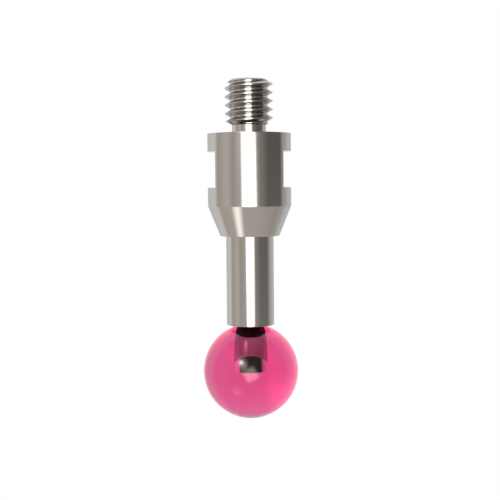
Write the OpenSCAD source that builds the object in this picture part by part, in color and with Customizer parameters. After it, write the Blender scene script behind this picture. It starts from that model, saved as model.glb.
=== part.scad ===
// Touch-probe stylus: a ruby ball on a straight steel stem, held in a holder that screws into a probe.
// The holder's mounting face is the XY plane, the thread points up and the ball is below.

/* [Overall] */
// Distance from the mounting face to the centre of the ball
reach = 20; // [15:0.5:50]

/* [Thread] */
// Outside diameter of the thread
thread_d = 4; // [3.5:0.1:4.2]
// Height of the thread's end above the mounting face
thread_len = 4.5; // [3:0.1:8]
// Diameter of the flat at the thread's end
thread_end_d = 2.84; // [2:0.02:3.3]
// Angle of the cones at both ends of the thread, from a plane across the axis
thread_cone_angle = 30; // [15:1:45]
// Diameter of the undercut between the thread and the mounting face
undercut_d = 2.85; // [2:0.05:3.3]
// Height of the undercut above the mounting face
undercut_h = 0.7; // [0.4:0.05:1.2]

/* [Holder] */
// Diameter of the holder's body
holder_d = 7; // [6:0.1:10]
// Length of the body, from the mounting face to the cone
body_len = 6.05; // [5:0.05:12]
// Diameter of the nose, where the cone ends
nose_d = 5; // [4.5:0.1:5.9]
// Length of the cone between the body and the nose
nose_len = 2.5; // [1:0.1:5]
// Size of the broken edges on the body, the nose and the stem's end
edge_break = 0.03; // [0.02:0.01:0.2]
// Diameter of the shallow relief in the mounting face, round the undercut
face_relief_d = 4.4; // [4.3:0.1:5.5]
// Depth of the relief below the mounting face
face_relief_depth = 0.1; // [0.05:0.05:0.4]

/* [Spanner flats] */
// Distance across the two flats
flats_across = 5.6; // [5:0.1:5.9]
// Distance from the mounting face to the flats
flats_offset = 1.5; // [0.5:0.1:2]
// Width of the flats along the axis
flats_w = 3; // [1:0.1:3.2]

/* [Stem] */
// Diameter of the stem and of its socket in the holder
stem_d = 4; // [3:0.1:4.3]
// Depth of the socket, from the nose
socket_depth = 4; // [2:0.1:7]
// Chamfer on the stem's end at the socket's floor
seat_chamfer = 0.2; // [0.05:0.05:0.5]

/* [Spigot] */
// Diameter of the stem's spigot and of the ball's bore
spigot_d = 1.93; // [1.7:0.01:2.4]
// Diameter of the neck between the stem's end and the spigot
neck_d = 1.6; // [1:0.05:1.65]
// Length of the neck
neck_len = 1.48; // [0.3:0.02:1.6]
// Thickness of the adhesive between the stem's end and the mouth of the bore
bond_line = 0.08; // [0.02:0.02:0.2]
// Diameter of the half-round groove across the spigot's end
groove_d = 2.19; // [1:0.01:2.5]

/* [Ball] */
// Diameter of the ball
ball_d = 8; // [6.5:0.1:12]
// Height of the bore's floor above the centre of the ball
bore_floor = 0; // [-1:0.1:0.4]

/* [Hidden] */

smooth = 128;
past_face = 1;

thread_r = thread_d / 2;
thread_end_r = thread_end_d / 2;
undercut_r = undercut_d / 2;
thread_lead = (thread_r - thread_end_r) * tan(thread_cone_angle);
thread_run_out = (thread_r - undercut_r) * tan(thread_cone_angle);

holder_r = holder_d / 2;
nose_r = nose_d / 2;
face_relief_r = face_relief_d / 2;
nose_z = -body_len - nose_len;
socket_z = nose_z + socket_depth;

stem_r = stem_d / 2;
spigot_r = spigot_d / 2;
neck_r = neck_d / 2;
ball_r = ball_d / 2;

// The bore comes out of the ball at mouth_z, and the stem's end is a line of adhesive above it
ball_z = -reach;
mouth_z = ball_z + sqrt(ball_r * ball_r - spigot_r * spigot_r);
stem_end_z = mouth_z + bond_line;
spigot_z = stem_end_z - neck_len;
floor_z = ball_z + bore_floor;

steel = [0.62, 0.60, 0.57];
ruby = [0.88, 0.29, 0.53];
dark_resin = [0.10, 0.07, 0.08];

// Half section of the holder: thread blank, undercut, mounting face, body and cone
holder_section = [
    [0, thread_len],
    [thread_end_r, thread_len],
    [thread_r, thread_len - thread_lead],
    [thread_r, undercut_h + thread_run_out],
    [undercut_r, undercut_h],
    [undercut_r, -face_relief_depth],
    [face_relief_r, -face_relief_depth],
    [face_relief_r, 0],
    [holder_r - edge_break, 0],
    [holder_r, -edge_break],
    [holder_r, -body_len],
    [nose_r, nose_z + edge_break],
    [nose_r - edge_break, nose_z],
    [0, nose_z]
];

// Half section of the stem: seat in the holder, shaft, end face, neck and spigot
stem_section = [
    [0, socket_z],
    [stem_r - seat_chamfer, socket_z],
    [stem_r, socket_z - seat_chamfer],
    [stem_r, stem_end_z + edge_break],
    [stem_r - edge_break, stem_end_z],
    [neck_r, stem_end_z],
    [neck_r, spigot_z],
    [spigot_r, spigot_z],
    [spigot_r, floor_z],
    [0, floor_z]
];

// Space beyond one spanner flat, on the +X side
module flat_cut() {
    translate([flats_across / 2, -holder_r, -flats_offset - flats_w])
        cube([holder_r, holder_d, flats_w]);
}

// Round space across the spigot's end, along Y, centred on the bore's floor
module groove_round() {
    translate([0, 0, floor_z])
        rotate([90, 0, 0])
            cylinder(d = groove_d, h = 2 * spigot_d, center = true, $fn = smooth);
}

module holder() {
    color(steel)
        difference() {
            rotate_extrude($fn = smooth)
                polygon(holder_section);
            for (side = [0, 180])
                rotate([0, 0, side])
                    flat_cut();
            translate([0, 0, nose_z - past_face])
                cylinder(d = stem_d, h = socket_depth + past_face, $fn = smooth);
        }
}

module stem() {
    color(steel)
        difference() {
            rotate_extrude($fn = smooth)
                polygon(stem_section);
            groove_round();
        }
}

module ball() {
    color(ruby)
        difference() {
            translate([0, 0, ball_z])
                sphere(d = ball_d, $fn = smooth);
            translate([0, 0, floor_z])
                cylinder(d = spigot_d, h = ball_d, $fn = smooth);
        }
}

// Cured adhesive in the ring round the neck, at the mouth of the bore
module neck_bond() {
    color(dark_resin)
        difference() {
            translate([0, 0, spigot_z])
                cylinder(d = spigot_d, h = neck_len, $fn = smooth);
            translate([0, 0, spigot_z - past_face])
                cylinder(d = neck_d, h = neck_len + 2 * past_face, $fn = smooth);
        }
}

// Cured adhesive in the groove, between the spigot's end and the floor of the bore
module tip_bond() {
    color(dark_resin)
        intersection() {
            translate([0, 0, floor_z])
                cylinder(d = spigot_d, h = groove_d, $fn = smooth);
            groove_round();
        }
}

holder();
stem();
ball();
neck_bond();
tip_bond();
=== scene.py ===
"""Touch-probe stylus: fine meshes, materials, a small studio and the camera, in the frame of the solids."""
import math

import bmesh
import bpy
from mathutils import Matrix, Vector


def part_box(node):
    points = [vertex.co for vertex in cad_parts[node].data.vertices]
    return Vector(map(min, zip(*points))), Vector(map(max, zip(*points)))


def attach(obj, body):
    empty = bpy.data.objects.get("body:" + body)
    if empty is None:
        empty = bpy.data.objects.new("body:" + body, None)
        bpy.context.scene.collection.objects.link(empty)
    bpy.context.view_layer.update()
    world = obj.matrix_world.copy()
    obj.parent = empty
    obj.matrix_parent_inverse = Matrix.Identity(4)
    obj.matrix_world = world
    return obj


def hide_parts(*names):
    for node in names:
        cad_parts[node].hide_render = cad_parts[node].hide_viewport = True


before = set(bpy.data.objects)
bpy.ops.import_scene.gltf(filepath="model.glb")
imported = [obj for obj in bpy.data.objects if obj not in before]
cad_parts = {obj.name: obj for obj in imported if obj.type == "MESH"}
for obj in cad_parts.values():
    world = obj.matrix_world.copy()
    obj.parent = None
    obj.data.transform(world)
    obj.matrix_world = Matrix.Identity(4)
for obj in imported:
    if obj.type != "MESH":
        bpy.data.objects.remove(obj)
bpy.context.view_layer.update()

MM = 0.001

# Main sizes and places, from the solids. The bore's floor lies at the centre of the ball
holder_low, holder_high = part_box("holder")
_, stem_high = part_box("stem")
ball_low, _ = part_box("ball")
neck_low, neck_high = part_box("neck_bond")
tip_low, tip_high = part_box("tip_bond")

HOLDER_R = holder_high.x
THREAD_TOP_Z = holder_high.z
NOSE_Z = holder_low.z
STEM_R = stem_high.x
SOCKET_Z = stem_high.z
FLOOR_Z = tip_low.z
BALL_Z = FLOOR_Z
BALL_R = BALL_Z - ball_low.z
SPIGOT_R = neck_high.x
STEM_END_Z = neck_high.z
SPIGOT_Z = neck_low.z
GROOVE_R = tip_high.z - tip_low.z

# Broken edges of the holder and the stem
EDGE_BREAK = 0.03 * MM

# The thread, of the standard 60-degree form. THREAD_CREST_Z is the place of one crest on the +X side
THREAD_R = 2.0 * MM
THREAD_PITCH = 0.7 * MM
DEPTH_IN_PITCHES = 0.6134
THREAD_DEPTH = DEPTH_IN_PITCHES * THREAD_PITCH
CREST_FLAT = THREAD_PITCH / 8
FLANK = math.radians(30)
THREAD_END_R = 1.42 * MM
THREAD_CONE = math.radians(30)
THREAD_CREST_Z = 0.595 * MM

# Other details of the holder
UNDERCUT_R = 1.425 * MM
UNDERCUT_H = 0.7 * MM
FACE_RELIEF_R = 2.2 * MM
FACE_RELIEF_DEPTH = 0.1 * MM
BODY_Z = -6.05 * MM
NOSE_R = 2.5 * MM
FLAT_HALF = 2.8 * MM
FLAT_TOP_Z = -1.5 * MM
FLAT_LOW_Z = -4.5 * MM

# Faces at the flats' height that tilt less than this from the X axis are the flats
FLAT_FACE_TILT = math.radians(3.75)

# Details of the stem
SEAT_CHAMFER = 0.2 * MM
NECK_R = 0.8 * MM

# What is bonded wets the ruby. The resin at the tip has shrunk a hair away from it on two sides
WETTED = 0.003 * MM
SHRUNK = 0.004 * MM
TIP_WETTED_HALF = 0.64 * MM

# Fineness of the meshes
COLUMNS = 256
FLAT_COLUMNS = 52
BALL_ROWS = 192
EDGE_STEPS = 4
FLANK_STEPS = 8
ROOT_STEPS = 3
SADDLE_SHARES = (2 / 3, 1 / 3, 0)
SHARP_ANGLE = math.radians(15)
MERGE = 0.0001 * MM


# Mesh building

def even_angles():
    return [2 * math.pi * k / COLUMNS for k in range(COLUMNS)]


def holder_angles():
    """Angles round the holder, as many as COLUMNS, with one on each edge of the two spanner flats."""
    edge = math.acos(FLAT_HALF / HOLDER_R)
    half = FLAT_COLUMNS // 2
    free = COLUMNS // 2 - FLAT_COLUMNS
    half_turn = [edge * k / half for k in range(half)]
    half_turn += [edge + (math.pi - 2 * edge) * k / free for k in range(free)]
    half_turn += [math.pi - edge + edge * k / half for k in range(half)]
    return half_turn + [math.pi + angle for angle in half_turn]


def circle(radius, z):
    """A level ring."""
    return lambda angle: (radius * math.cos(angle), radius * math.sin(angle), z)


def rounded_edge(radius, z, first, last):
    """Rings over a rounded edge about a circle at that radius and height, between two angles.

    One more ring on each side keeps the edge's shading off the faces beside it.
    """
    turn = [first + (last - first) * k / EDGE_STEPS for k in range(EDGE_STEPS + 1)]
    places = [(radius + EDGE_BREAK * math.cos(a), z + EDGE_BREAK * math.sin(a)) for a in turn]
    step = math.copysign(EDGE_BREAK, last - first)
    start_r, start_z = places[0]
    end_r, end_z = places[-1]
    before = (start_r + step * math.sin(first), start_z - step * math.cos(first))
    after = (end_r - step * math.sin(last), end_z + step * math.cos(last))
    return [circle(ring_r, ring_z) for ring_r, ring_z in (before, *places, after)]


def flatted(radius, z):
    """A level ring cut off by the spanner flats."""
    def place(angle):
        x = max(-FLAT_HALF, min(FLAT_HALF, radius * math.cos(angle)))
        return x, radius * math.sin(angle), z
    return place


def saddle(radius, drop=0.0):
    """A ring on the half-round groove across the spigot's end."""
    def place(angle):
        x = radius * math.cos(angle)
        return x, radius * math.sin(angle), FLOOR_Z + math.sqrt(GROOVE_R ** 2 - x ** 2) - drop
    return place


def add_rings(bm, rows, angles):
    """Rings of vertices, one for each row, joined to their neighbours by faces."""
    rings = [[bm.verts.new(row(angle)) for angle in angles] for row in rows]
    for low, high in zip(rings, rings[1:]):
        for k in range(len(angles)):
            after = (k + 1) % len(angles)
            bm.faces.new((low[k], low[after], high[after], high[k]))


def finished(name, bm, *materials):
    """Merges the rings that meet, marks the sharp edges and makes the object."""
    bmesh.ops.remove_doubles(bm, verts=bm.verts, dist=MERGE)
    bmesh.ops.recalc_face_normals(bm, faces=bm.faces)
    for face in bm.faces:
        face.smooth = True
    for edge in bm.edges:
        edge.smooth = edge.is_manifold and edge.calc_face_angle() < SHARP_ANGLE
    mesh = bpy.data.meshes.new(name)
    bm.to_mesh(mesh)
    bm.free()
    for material in materials:
        mesh.materials.append(material)
    piece = bpy.data.objects.new(name, mesh)
    bpy.context.scene.collection.objects.link(piece)
    return piece


# The holder and its thread

def thread_envelope(z):
    """Radius of the turned blank, with a cone at each end."""
    from_end = (THREAD_TOP_Z - z) / math.tan(THREAD_CONE)
    from_undercut = (z - UNDERCUT_H) / math.tan(THREAD_CONE)
    return min(THREAD_R, THREAD_END_R + from_end, UNDERCUT_R + from_undercut)


def thread_form(from_crest):
    """Radius of the endless thread, by the distance along the axis from the middle of a crest."""
    away = abs((from_crest / THREAD_PITCH + 0.5) % 1 - 0.5) * THREAD_PITCH
    depth = (away - CREST_FLAT / 2) / math.tan(FLANK)
    return THREAD_R - max(0.0, min(THREAD_DEPTH, depth))


def thread_steps():
    """Distances from the middle of a crest at which one turn of the thread has a row of vertices."""
    crest = CREST_FLAT / 2
    foot = crest + THREAD_DEPTH * math.tan(FLANK)
    falling = [crest + (foot - crest) * k / FLANK_STEPS for k in range(FLANK_STEPS + 1)]
    root = [foot + (THREAD_PITCH - 2 * foot) * k / ROOT_STEPS for k in range(1, ROOT_STEPS)]
    rising = [THREAD_PITCH - step for step in reversed(falling)]
    return falling + root + rising


def thread_column(climb, rows):
    """Radius and height of each vertex in one column, and which of them lie on the edge of an end's cone."""
    heights = [max(UNDERCUT_H, min(THREAD_TOP_Z, THREAD_CREST_Z + row + climb)) for row in rows]
    spare = [thread_envelope(z) - thread_form(z - THREAD_CREST_Z - climb) for z in heights]
    settled = list(heights)
    on_edge = set()
    for j in range(len(rows) - 1):
        if spare[j] * spare[j + 1] < 0:
            share = spare[j] / (spare[j] - spare[j + 1])
            nearer = j if share < 0.5 else j + 1
            settled[nearer] = heights[j] + share * (heights[j + 1] - heights[j])
            on_edge.add(nearer)
    radii = [min(thread_envelope(z), thread_form(z - THREAD_CREST_Z - climb)) for z in settled]
    return radii, settled, on_edge


def add_thread(bm):
    """A right-hand thread: each row climbs one pitch in a turn, and stops at the blank's ends."""
    steps = thread_steps()
    first_turn = math.floor((UNDERCUT_H - THREAD_CREST_Z) / THREAD_PITCH) - 2
    last_turn = math.ceil((THREAD_TOP_Z - THREAD_CREST_Z) / THREAD_PITCH) + 1
    rows = [turn * THREAD_PITCH + step for turn in range(first_turn, last_turn) for step in steps]
    columns = []
    edge_vertices = set()
    for angle in holder_angles():
        radii, heights, on_edge = thread_column(THREAD_PITCH * angle / (2 * math.pi), rows)
        column = [bm.verts.new(circle(r, z)(angle)) for r, z in zip(radii, heights)]
        edge_vertices.update(column[j] for j in on_edge)
        columns.append(column)
    one_turn_on = columns[0][len(steps):] + columns[0][-1:] * len(steps)
    columns.append(one_turn_on)
    for left, right in zip(columns, columns[1:]):
        for j in range(len(rows) - 1):
            add_thread_face(bm, (left[j], right[j], right[j + 1], left[j + 1]), edge_vertices)


def add_thread_face(bm, corners, edge_vertices):
    """Four corners as one face, or as two that meet along the edge of a cone."""
    if len(set(corners)) < 4:
        return
    a, b, c, d = corners
    if a in edge_vertices and c in edge_vertices:
        bm.faces.new((a, b, c))
        bm.faces.new((a, c, d))
    elif b in edge_vertices and d in edge_vertices:
        bm.faces.new((a, b, d))
        bm.faces.new((b, c, d))
    else:
        bm.faces.new(corners)


def make_holder(turned, milled):
    bm = bmesh.new()
    add_thread(bm)
    cone_tilt = math.atan2(HOLDER_R - NOSE_R, BODY_Z - NOSE_Z - EDGE_BREAK)
    rows = [
        circle(UNDERCUT_R, UNDERCUT_H),
        circle(UNDERCUT_R, -FACE_RELIEF_DEPTH),
        circle(FACE_RELIEF_R, -FACE_RELIEF_DEPTH),
        circle(FACE_RELIEF_R, 0),
        *rounded_edge(HOLDER_R - EDGE_BREAK, -EDGE_BREAK, math.pi / 2, 0),
        circle(HOLDER_R, FLAT_TOP_Z),
        flatted(HOLDER_R, FLAT_TOP_Z),
        flatted(HOLDER_R, FLAT_LOW_Z),
        circle(HOLDER_R, FLAT_LOW_Z),
        circle(HOLDER_R, BODY_Z),
        *rounded_edge(NOSE_R - EDGE_BREAK, NOSE_Z + EDGE_BREAK, -cone_tilt, -math.pi / 2),
        circle(STEM_R, NOSE_Z),
        circle(STEM_R, SOCKET_Z),
        circle(0, SOCKET_Z),
    ]
    add_rings(bm, [circle(0, THREAD_TOP_Z), circle(THREAD_END_R, THREAD_TOP_Z)], holder_angles())
    add_rings(bm, rows, holder_angles())
    piece = finished("holder_turned", bm, turned, milled)
    for face in piece.data.polygons:
        sideways = abs(face.normal.x) > math.cos(FLAT_FACE_TILT)
        if sideways and FLAT_LOW_Z < face.center.z < FLAT_TOP_Z:
            face.material_index = 1
    return piece


# The stem, the ball and the resin

def make_stem(ground, wetted):
    bm = bmesh.new()
    rows = [
        circle(0, SOCKET_Z),
        circle(STEM_R - SEAT_CHAMFER, SOCKET_Z),
        circle(STEM_R, SOCKET_Z - SEAT_CHAMFER),
        *rounded_edge(STEM_R - EDGE_BREAK, STEM_END_Z + EDGE_BREAK, 0, -math.pi / 2),
        circle(NECK_R, STEM_END_Z),
        circle(NECK_R, SPIGOT_Z),
        circle(SPIGOT_R + WETTED, SPIGOT_Z),
        saddle(SPIGOT_R + WETTED),
        *[saddle(SPIGOT_R * share) for share in SADDLE_SHARES],
    ]
    add_rings(bm, rows, even_angles())
    piece = finished("stem_ground", bm, ground, wetted)
    for face in piece.data.polygons:
        if face.center.z < SPIGOT_Z:
            face.material_index = 1
    return piece


def make_ball(ruby):
    bm = bmesh.new()
    mouth = math.asin(SPIGOT_R / BALL_R)
    turn = [mouth + (math.pi - mouth) * k / BALL_ROWS for k in range(BALL_ROWS + 1)]
    rows = [circle(0, FLOOR_Z), circle(SPIGOT_R, FLOOR_Z)]
    rows += [circle(BALL_R * math.sin(a), BALL_Z + BALL_R * math.cos(a)) for a in turn]
    add_rings(bm, rows, even_angles())
    return finished("ball_ruby", bm, ruby)


def make_neck_bond(resin):
    bm = bmesh.new()
    rows = [
        circle(NECK_R, SPIGOT_Z),
        circle(SPIGOT_R + WETTED, SPIGOT_Z),
        circle(SPIGOT_R + WETTED, STEM_END_Z),
        circle(NECK_R, STEM_END_Z),
        circle(NECK_R, SPIGOT_Z),
    ]
    add_rings(bm, rows, even_angles())
    return finished("neck_resin", bm, resin)


def make_tip_bond(resin):
    bm = bmesh.new()

    def wall_radius(angle):
        """Out to the ruby at the groove's two ends, and short of it beside the groove."""
        wetted = abs(SPIGOT_R * math.cos(angle)) < TIP_WETTED_HALF
        return SPIGOT_R + WETTED if wetted else SPIGOT_R - SHRUNK

    def foot(angle):
        return circle(wall_radius(angle), FLOOR_Z)(angle)

    def brim(angle):
        return saddle(wall_radius(angle), SHRUNK)(angle)

    rows = [circle(0, FLOOR_Z), foot, brim]
    rows += [saddle(SPIGOT_R * share, SHRUNK) for share in SADDLE_SHARES]
    add_rings(bm, rows, even_angles())
    return finished("tip_resin", bm, resin)


# Materials

WHITE = (1, 1, 1, 1)

# Noise values between which a finish goes from its smoothest to its roughest
NOISE_SPAN = (0.3, 0.7)

# Steel: its colour face on and at a glancing angle, and the tool lines of each finish
STEEL_TINT = (0.553, 0.542, 0.525)
WETTED_TINT = (0.525, 0.515, 0.500)
EDGE_TINT = (0.74, 0.74, 0.74)
LINE_DEPTH = 0.0004 * MM
LINE_STRENGTH = 0.3
LINE_DETAIL = 3
TURNED_PITCH = 0.05 * MM
GROUND_PITCH = 0.03 * MM
MILLED_PITCH = 0.06 * MM
TURNED_ROUGHNESS = (0.08, 0.14)
GROUND_ROUGHNESS = (0.07, 0.12)
MILLED_ROUGHNESS = (0.14, 0.22)

# Ruby. RUBY_DENSITY is its absorption per metre
RUBY_IOR = 1.5
RUBY_TINT = (0.94, 0.09, 0.53)
RUBY_DENSITY = 375
POLISH_GRAIN = 0.5 * MM
POLISH_ROUGHNESS = (0.0, 0.01)

# Cured adhesive
RESIN_GRAIN = 0.2 * MM
RESIN_DARK = (0.009, 0.004, 0.005)
RESIN_LIGHT = (0.017, 0.008, 0.010)
RESIN_ROUGHNESS = 0.5


class Graph:
    """Short names for making the nodes of one material or world."""

    def __init__(self, owner):
        owner.use_nodes = True
        self.tree = owner.node_tree
        self.tree.nodes.clear()

    def node(self, kind, **settings):
        made = self.tree.nodes.new(kind)
        for key, value in settings.items():
            setattr(made, key, value)
        return made

    def put(self, socket, value):
        """Links a socket, or sets a constant."""
        if isinstance(value, bpy.types.NodeSocket):
            self.tree.links.new(value, socket)
        else:
            socket.default_value = value

    def math(self, operation, *values):
        made = self.node("ShaderNodeMath", operation=operation)
        for socket, value in zip(made.inputs, values):
            self.put(socket, value)
        return made.outputs[0]

    def split(self, vector):
        """The three parts of a vector."""
        made = self.node("ShaderNodeSeparateXYZ")
        self.put(made.inputs[0], vector)
        return made.outputs

    def ramp(self, value, low, high, to_low=0.0, to_high=1.0, kind="SMOOTHSTEP"):
        """A step from to_low to to_high while value goes from low to high."""
        made = self.node("ShaderNodeMapRange", interpolation_type=kind)
        for socket, part in zip(made.inputs, (value, low, high, to_low, to_high)):
            self.put(socket, part)
        return made.outputs[0]

    def mix(self, factor, a, b, kind="FLOAT"):
        """From a to b, which are numbers, or colours where kind is RGBA."""
        made = self.node("ShaderNodeMix", data_type=kind)
        for name, value in (("Factor", factor), ("A", a), ("B", b)):
            self.put(made.inputs[name], value)
        return made.outputs["Result"]

    def grain(self, size):
        """Noise of that size, fixed to the object."""
        made = self.node("ShaderNodeTexNoise")
        self.put(made.inputs["Vector"], self.node("ShaderNodeTexCoord").outputs["Object"])
        made.inputs["Scale"].default_value = 1 / size
        return made.outputs[0]


def tool_lines(graph, pitch, along):
    """Noise in fine lines: round the axis on turned and ground faces, or level on milled ones."""
    x, y, z = graph.split(graph.node("ShaderNodeTexCoord").outputs["Object"])
    across = z
    if along == "axis":
        x_square = graph.math("MULTIPLY", x, x)
        y_square = graph.math("MULTIPLY", y, y)
        radius = graph.math("SQRT", graph.math("ADD", x_square, y_square))
        across = graph.math("ADD", radius, z)
    noise = graph.node("ShaderNodeTexNoise", noise_dimensions="1D")
    graph.put(noise.inputs["W"], across)
    noise.inputs["Scale"].default_value = 1 / pitch
    noise.inputs["Detail"].default_value = LINE_DETAIL
    return noise.outputs[0]


def steel(name, tint, roughness, line_pitch, along="axis"):
    material = bpy.data.materials.new(name)
    graph = Graph(material)
    shader = graph.node("ShaderNodeBsdfPrincipled")
    shader.inputs["Metallic"].default_value = 1
    shader.inputs["Base Color"].default_value = (*tint, 1)
    shader.inputs["Specular Tint"].default_value = (*EDGE_TINT, 1)
    lines = tool_lines(graph, line_pitch, along)
    graph.put(shader.inputs["Roughness"], graph.ramp(lines, *NOISE_SPAN, *roughness))
    bump = graph.node("ShaderNodeBump")
    bump.inputs["Strength"].default_value = LINE_STRENGTH
    bump.inputs["Distance"].default_value = LINE_DEPTH
    graph.put(bump.inputs["Height"], lines)
    graph.put(shader.inputs["Normal"], bump.outputs[0])
    graph.put(graph.node("ShaderNodeOutputMaterial").inputs["Surface"], shader.outputs[0])
    return material


def clear_ruby():
    material = bpy.data.materials.new("clear_ruby")
    graph = Graph(material)
    shader = graph.node("ShaderNodeBsdfPrincipled")
    shader.inputs["Base Color"].default_value = WHITE
    polish = graph.grain(POLISH_GRAIN)
    graph.put(shader.inputs["Roughness"], graph.ramp(polish, *NOISE_SPAN, *POLISH_ROUGHNESS))
    shader.inputs["Transmission Weight"].default_value = 1
    shader.inputs["IOR"].default_value = RUBY_IOR
    absorption = graph.node("ShaderNodeVolumeAbsorption")
    absorption.inputs["Color"].default_value = (*RUBY_TINT, 1)
    absorption.inputs["Density"].default_value = RUBY_DENSITY
    out = graph.node("ShaderNodeOutputMaterial")
    graph.put(out.inputs["Surface"], shader.outputs[0])
    graph.put(out.inputs["Volume"], absorption.outputs[0])
    return material


def dark_resin():
    material = bpy.data.materials.new("dark_resin")
    graph = Graph(material)
    shader = graph.node("ShaderNodeBsdfPrincipled")
    shader.inputs["Roughness"].default_value = RESIN_ROUGHNESS
    shader.inputs["Specular IOR Level"].default_value = 0
    colour = graph.mix(graph.grain(RESIN_GRAIN), (*RESIN_DARK, 1), (*RESIN_LIGHT, 1), kind="RGBA")
    graph.put(shader.inputs["Base Color"], colour)
    graph.put(graph.node("ShaderNodeOutputMaterial").inputs["Surface"], shader.outputs[0])
    return material


turned_steel = steel("turned_steel", STEEL_TINT, TURNED_ROUGHNESS, TURNED_PITCH)
milled_steel = steel("milled_steel", STEEL_TINT, MILLED_ROUGHNESS, MILLED_PITCH, along="level")
ground_steel = steel("ground_steel", STEEL_TINT, GROUND_ROUGHNESS, GROUND_PITCH)
wetted_steel = steel("wetted_steel", WETTED_TINT, GROUND_ROUGHNESS, GROUND_PITCH)
ruby_material = clear_ruby()
resin_material = dark_resin()

holder = make_holder(turned_steel, milled_steel)
stem = make_stem(ground_steel, wetted_steel)
ball = make_ball(ruby_material)
neck_bond = make_neck_bond(resin_material)
tip_bond = make_tip_bond(resin_material)

for piece, node, slot in (
    (holder, "holder", "holder_steel"),
    (stem, "stem", "stem_steel"),
    (ball, "ball", "ruby"),
    (neck_bond, "neck_bond", "resin"),
    (tip_bond, "tip_bond", "resin"),
):
    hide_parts(node)
    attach(piece, "root")


# Studio: a white backdrop behind, a grey wall on the left, a dark one on the right, and soft lamps.
# Directions are in degrees as seen from the object, with azimuth 0 on the camera's side and + to its right

WALLS = (
    # azimuth and brightness
    (-180, 0.93), (-109, 0.93), (-96, 0.54), (-64, 0.69), (-45, 0.50), (-27, 0.57),
    (22, 0.42), (32, 0.29), (54, 0.155), (92, 0.155), (106, 0.54), (140, 0.85), (180, 0.93),
)

# Share of the walls' brightness at their foot, and the elevations over which they reach all of it
WALL_FOOT = 0.8
WALL_FOOT_SPAN = (-52, -20)

# Azimuths, to either side, over which the ground and the low ceiling in front give way to the backdrop
FRONT_SPAN = (95, 115)

# Pale ground in front, and the elevations over which it gives way to the walls
GROUND_TONE = 0.645
GROUND_SHARE = 0.88
GROUND_SPAN = (-44, 2)

# Dark ceiling, and the elevations over which the walls and the backdrop give way to it
CEILING_TONE = 0.12
FRONT_CEILING_SPAN = (34, 54)
BACK_CEILING_SPAN = (56, 68)

# Warm light from the front and the sides, and the azimuths over which it turns white
WARM = (1.0, 0.928, 0.86)
WARM_SPAN = (106, 132)

SOFTBOX_RADIANCE = 4.7
SOFTBOX_EDGES = (
    # the way the edge faces, counter-clockwise from the right, its distance and its softness
    (28, 14.0, 6), (122, 14.0, 7), (211, 16.0, 6), (297, 14.5, 6),
)
ROUND_LAMPS = (
    # azimuth, elevation, radius, softness and radiance
    (-25.3, 28, 4.8, 4.6, 17.0),
    (-24.5, 28, 10.5, 8, 3.0),
    (-15.5, 21, 6.5, 5, 2.2),
    (-19, 15, 8, 6, 1.7),
    (-32, 9, 7, 6, 0.25),
    (-42, -41, 9, 8, 1.2),
)

# The table. TABLE_TONE is what metal and glass see of it
TABLE_Z = -130 * MM
TABLE_R = 90 * MM
TABLE_TONE = 0.6
TABLE_COLOUR = (0.8, 0.8, 0.8, 1)

# The camera. FOCAL_PIXELS is its focal length in pixels of a square picture, PHOTO_SIDE on a side
SENSOR = 36.0
PHOTO_SIDE = 500
FOCAL_PIXELS = 1040.2
CAMERA_PLACE = (0, -87.45 * MM, -4.09 * MM)
CAMERA_DOWN = math.radians(3.71)
CAMERA_ROLL = -0.0083
CLIP_START = 1 * MM


def wall_tone(graph, azimuth):
    """Brightness of the walls by azimuth. The first wall takes the stop that a new ramp starts with."""
    made = graph.node("ShaderNodeValToRGB")
    made.color_ramp.interpolation = "EASE"
    stops = made.color_ramp.elements
    stops.remove(stops[1])
    for angle, level in WALLS:
        stop = stops[0] if angle == -180 else stops.new((angle + 180) / 360)
        stop.color = (level, level, level, 1)
    graph.put(made.inputs[0], graph.ramp(azimuth, -180, 180, kind="LINEAR"))
    return made.outputs[0]


def room_tone(graph, azimuth, elevation):
    """Brightness of the room without its lamps: walls, backdrop, ground and ceiling."""
    foot = graph.ramp(elevation, *WALL_FOOT_SPAN, WALL_FOOT, 1.0)
    walls = graph.math("MULTIPLY", wall_tone(graph, azimuth), foot)
    front = graph.ramp(graph.math("ABSOLUTE", azimuth), *FRONT_SPAN, 1.0, 0.0)
    low = graph.ramp(elevation, *GROUND_SPAN, GROUND_SHARE, 0.0, kind="LINEAR")
    ground = graph.math("MULTIPLY", front, low)
    front_ceiling = graph.math("MULTIPLY", front, graph.ramp(elevation, *FRONT_CEILING_SPAN))
    ceiling = graph.math("MAXIMUM", front_ceiling, graph.ramp(elevation, *BACK_CEILING_SPAN))
    return graph.mix(ceiling, graph.mix(ground, walls, GROUND_TONE), CEILING_TONE)


def softbox(graph, azimuth, elevation):
    """The large lamp round the camera: a tilted square with soft edges."""
    glow = SOFTBOX_RADIANCE
    for facing, reach, soft in SOFTBOX_EDGES:
        aside = graph.math("MULTIPLY", azimuth, math.cos(math.radians(facing)))
        out = graph.math("MULTIPLY_ADD", elevation, math.sin(math.radians(facing)), aside)
        glow = graph.math("MULTIPLY", graph.ramp(out, reach - soft, reach + soft, 1.0, 0.0), glow)
    return glow


def round_lamp(graph, azimuth, elevation, lamp_azimuth, lamp_elevation, radius, soft, radiance):
    """A soft round lamp. A degree of azimuth is narrower the higher or lower the lamp is."""
    degree_width = math.cos(math.radians(lamp_elevation))
    aside = graph.math("MULTIPLY", graph.math("SUBTRACT", azimuth, lamp_azimuth), degree_width)
    above = graph.math("SUBTRACT", elevation, lamp_elevation)
    squares = graph.math("MULTIPLY_ADD", aside, aside, graph.math("MULTIPLY", above, above))
    return graph.ramp(graph.math("SQRT", squares), radius - soft, radius + soft, radiance, 0.0)


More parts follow.
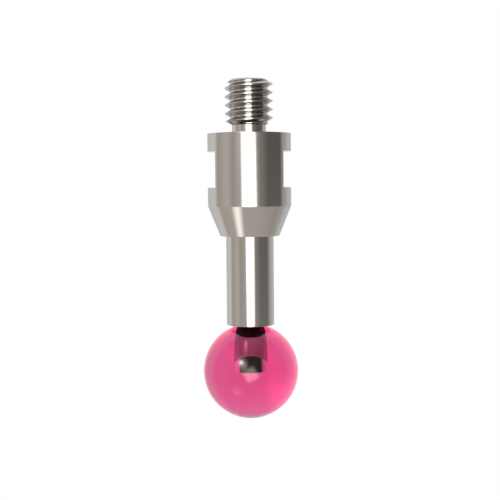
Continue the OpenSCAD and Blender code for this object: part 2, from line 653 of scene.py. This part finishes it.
def make_world():
    """The room and its lamps. The camera itself sees plain white."""
    world = bpy.data.worlds.new("studio")
    bpy.context.scene.world = world
    graph = Graph(world)
    x, y, z = graph.split(graph.node("ShaderNodeTexCoord").outputs["Generated"])
    azimuth = graph.math("DEGREES", graph.math("ARCTAN2", x, graph.math("MULTIPLY", y, -1.0)))
    elevation = graph.math("DEGREES", graph.math("ARCSINE", z))
    light = room_tone(graph, azimuth, elevation)
    light = graph.math("ADD", light, softbox(graph, azimuth, elevation))
    for lamp in ROUND_LAMPS:
        light = graph.math("ADD", light, round_lamp(graph, azimuth, elevation, *lamp))
    seen = graph.node("ShaderNodeLightPath").outputs["Is Camera Ray"]
    warm = graph.ramp(graph.math("ABSOLUTE", azimuth), *WARM_SPAN, 1.0, 0.0)
    warm_share = graph.math("MULTIPLY", warm, graph.math("SUBTRACT", 1.0, seen))
    background = graph.node("ShaderNodeBackground")
    graph.put(background.inputs["Color"], graph.mix(warm_share, WHITE, (*WARM, 1), kind="RGBA"))
    graph.put(background.inputs["Strength"], graph.mix(seen, light, 1.0))
    graph.put(graph.node("ShaderNodeOutputWorld").inputs["Surface"], background.outputs[0])


def make_table():
    """A round white table, well below the ball. The camera sees it white, and metal and glass see it pale."""
    bm = bmesh.new()
    add_rings(bm, [circle(0, TABLE_Z), circle(TABLE_R, TABLE_Z)], even_angles())
    material = bpy.data.materials.new("white_table")
    graph = Graph(material)
    path = graph.node("ShaderNodeLightPath").outputs
    mirrored = graph.math("MAXIMUM", path["Is Glossy Ray"], path["Is Transmission Ray"])
    emission = graph.node("ShaderNodeEmission")
    graph.put(emission.inputs["Strength"], graph.mix(path["Is Camera Ray"], TABLE_TONE, 1.0))
    diffuse = graph.node("ShaderNodeBsdfDiffuse")
    diffuse.inputs["Color"].default_value = TABLE_COLOUR
    shown = graph.node("ShaderNodeMixShader")
    graph.put(shown.inputs[0], graph.math("MAXIMUM", path["Is Camera Ray"], mirrored))
    graph.put(shown.inputs[1], diffuse.outputs[0])
    graph.put(shown.inputs[2], emission.outputs[0])
    graph.put(graph.node("ShaderNodeOutputMaterial").inputs["Surface"], shown.outputs[0])
    finished("table", bm, material)


def make_camera():
    data = bpy.data.cameras.new("photo_camera")
    data.sensor_width = SENSOR
    data.lens = SENSOR * FOCAL_PIXELS / PHOTO_SIDE
    data.clip_start = CLIP_START
    camera = bpy.data.objects.new("photo_camera", data)
    turn = Matrix.Rotation(math.pi / 2 - CAMERA_DOWN, 4, "X") @ Matrix.Rotation(CAMERA_ROLL, 4, "Z")
    camera.matrix_world = Matrix.Translation(CAMERA_PLACE) @ turn
    bpy.context.scene.collection.objects.link(camera)
    bpy.context.scene.camera = camera


make_world()
make_table()
make_camera()
bpy.context.scene.view_settings.view_transform = "Standard"
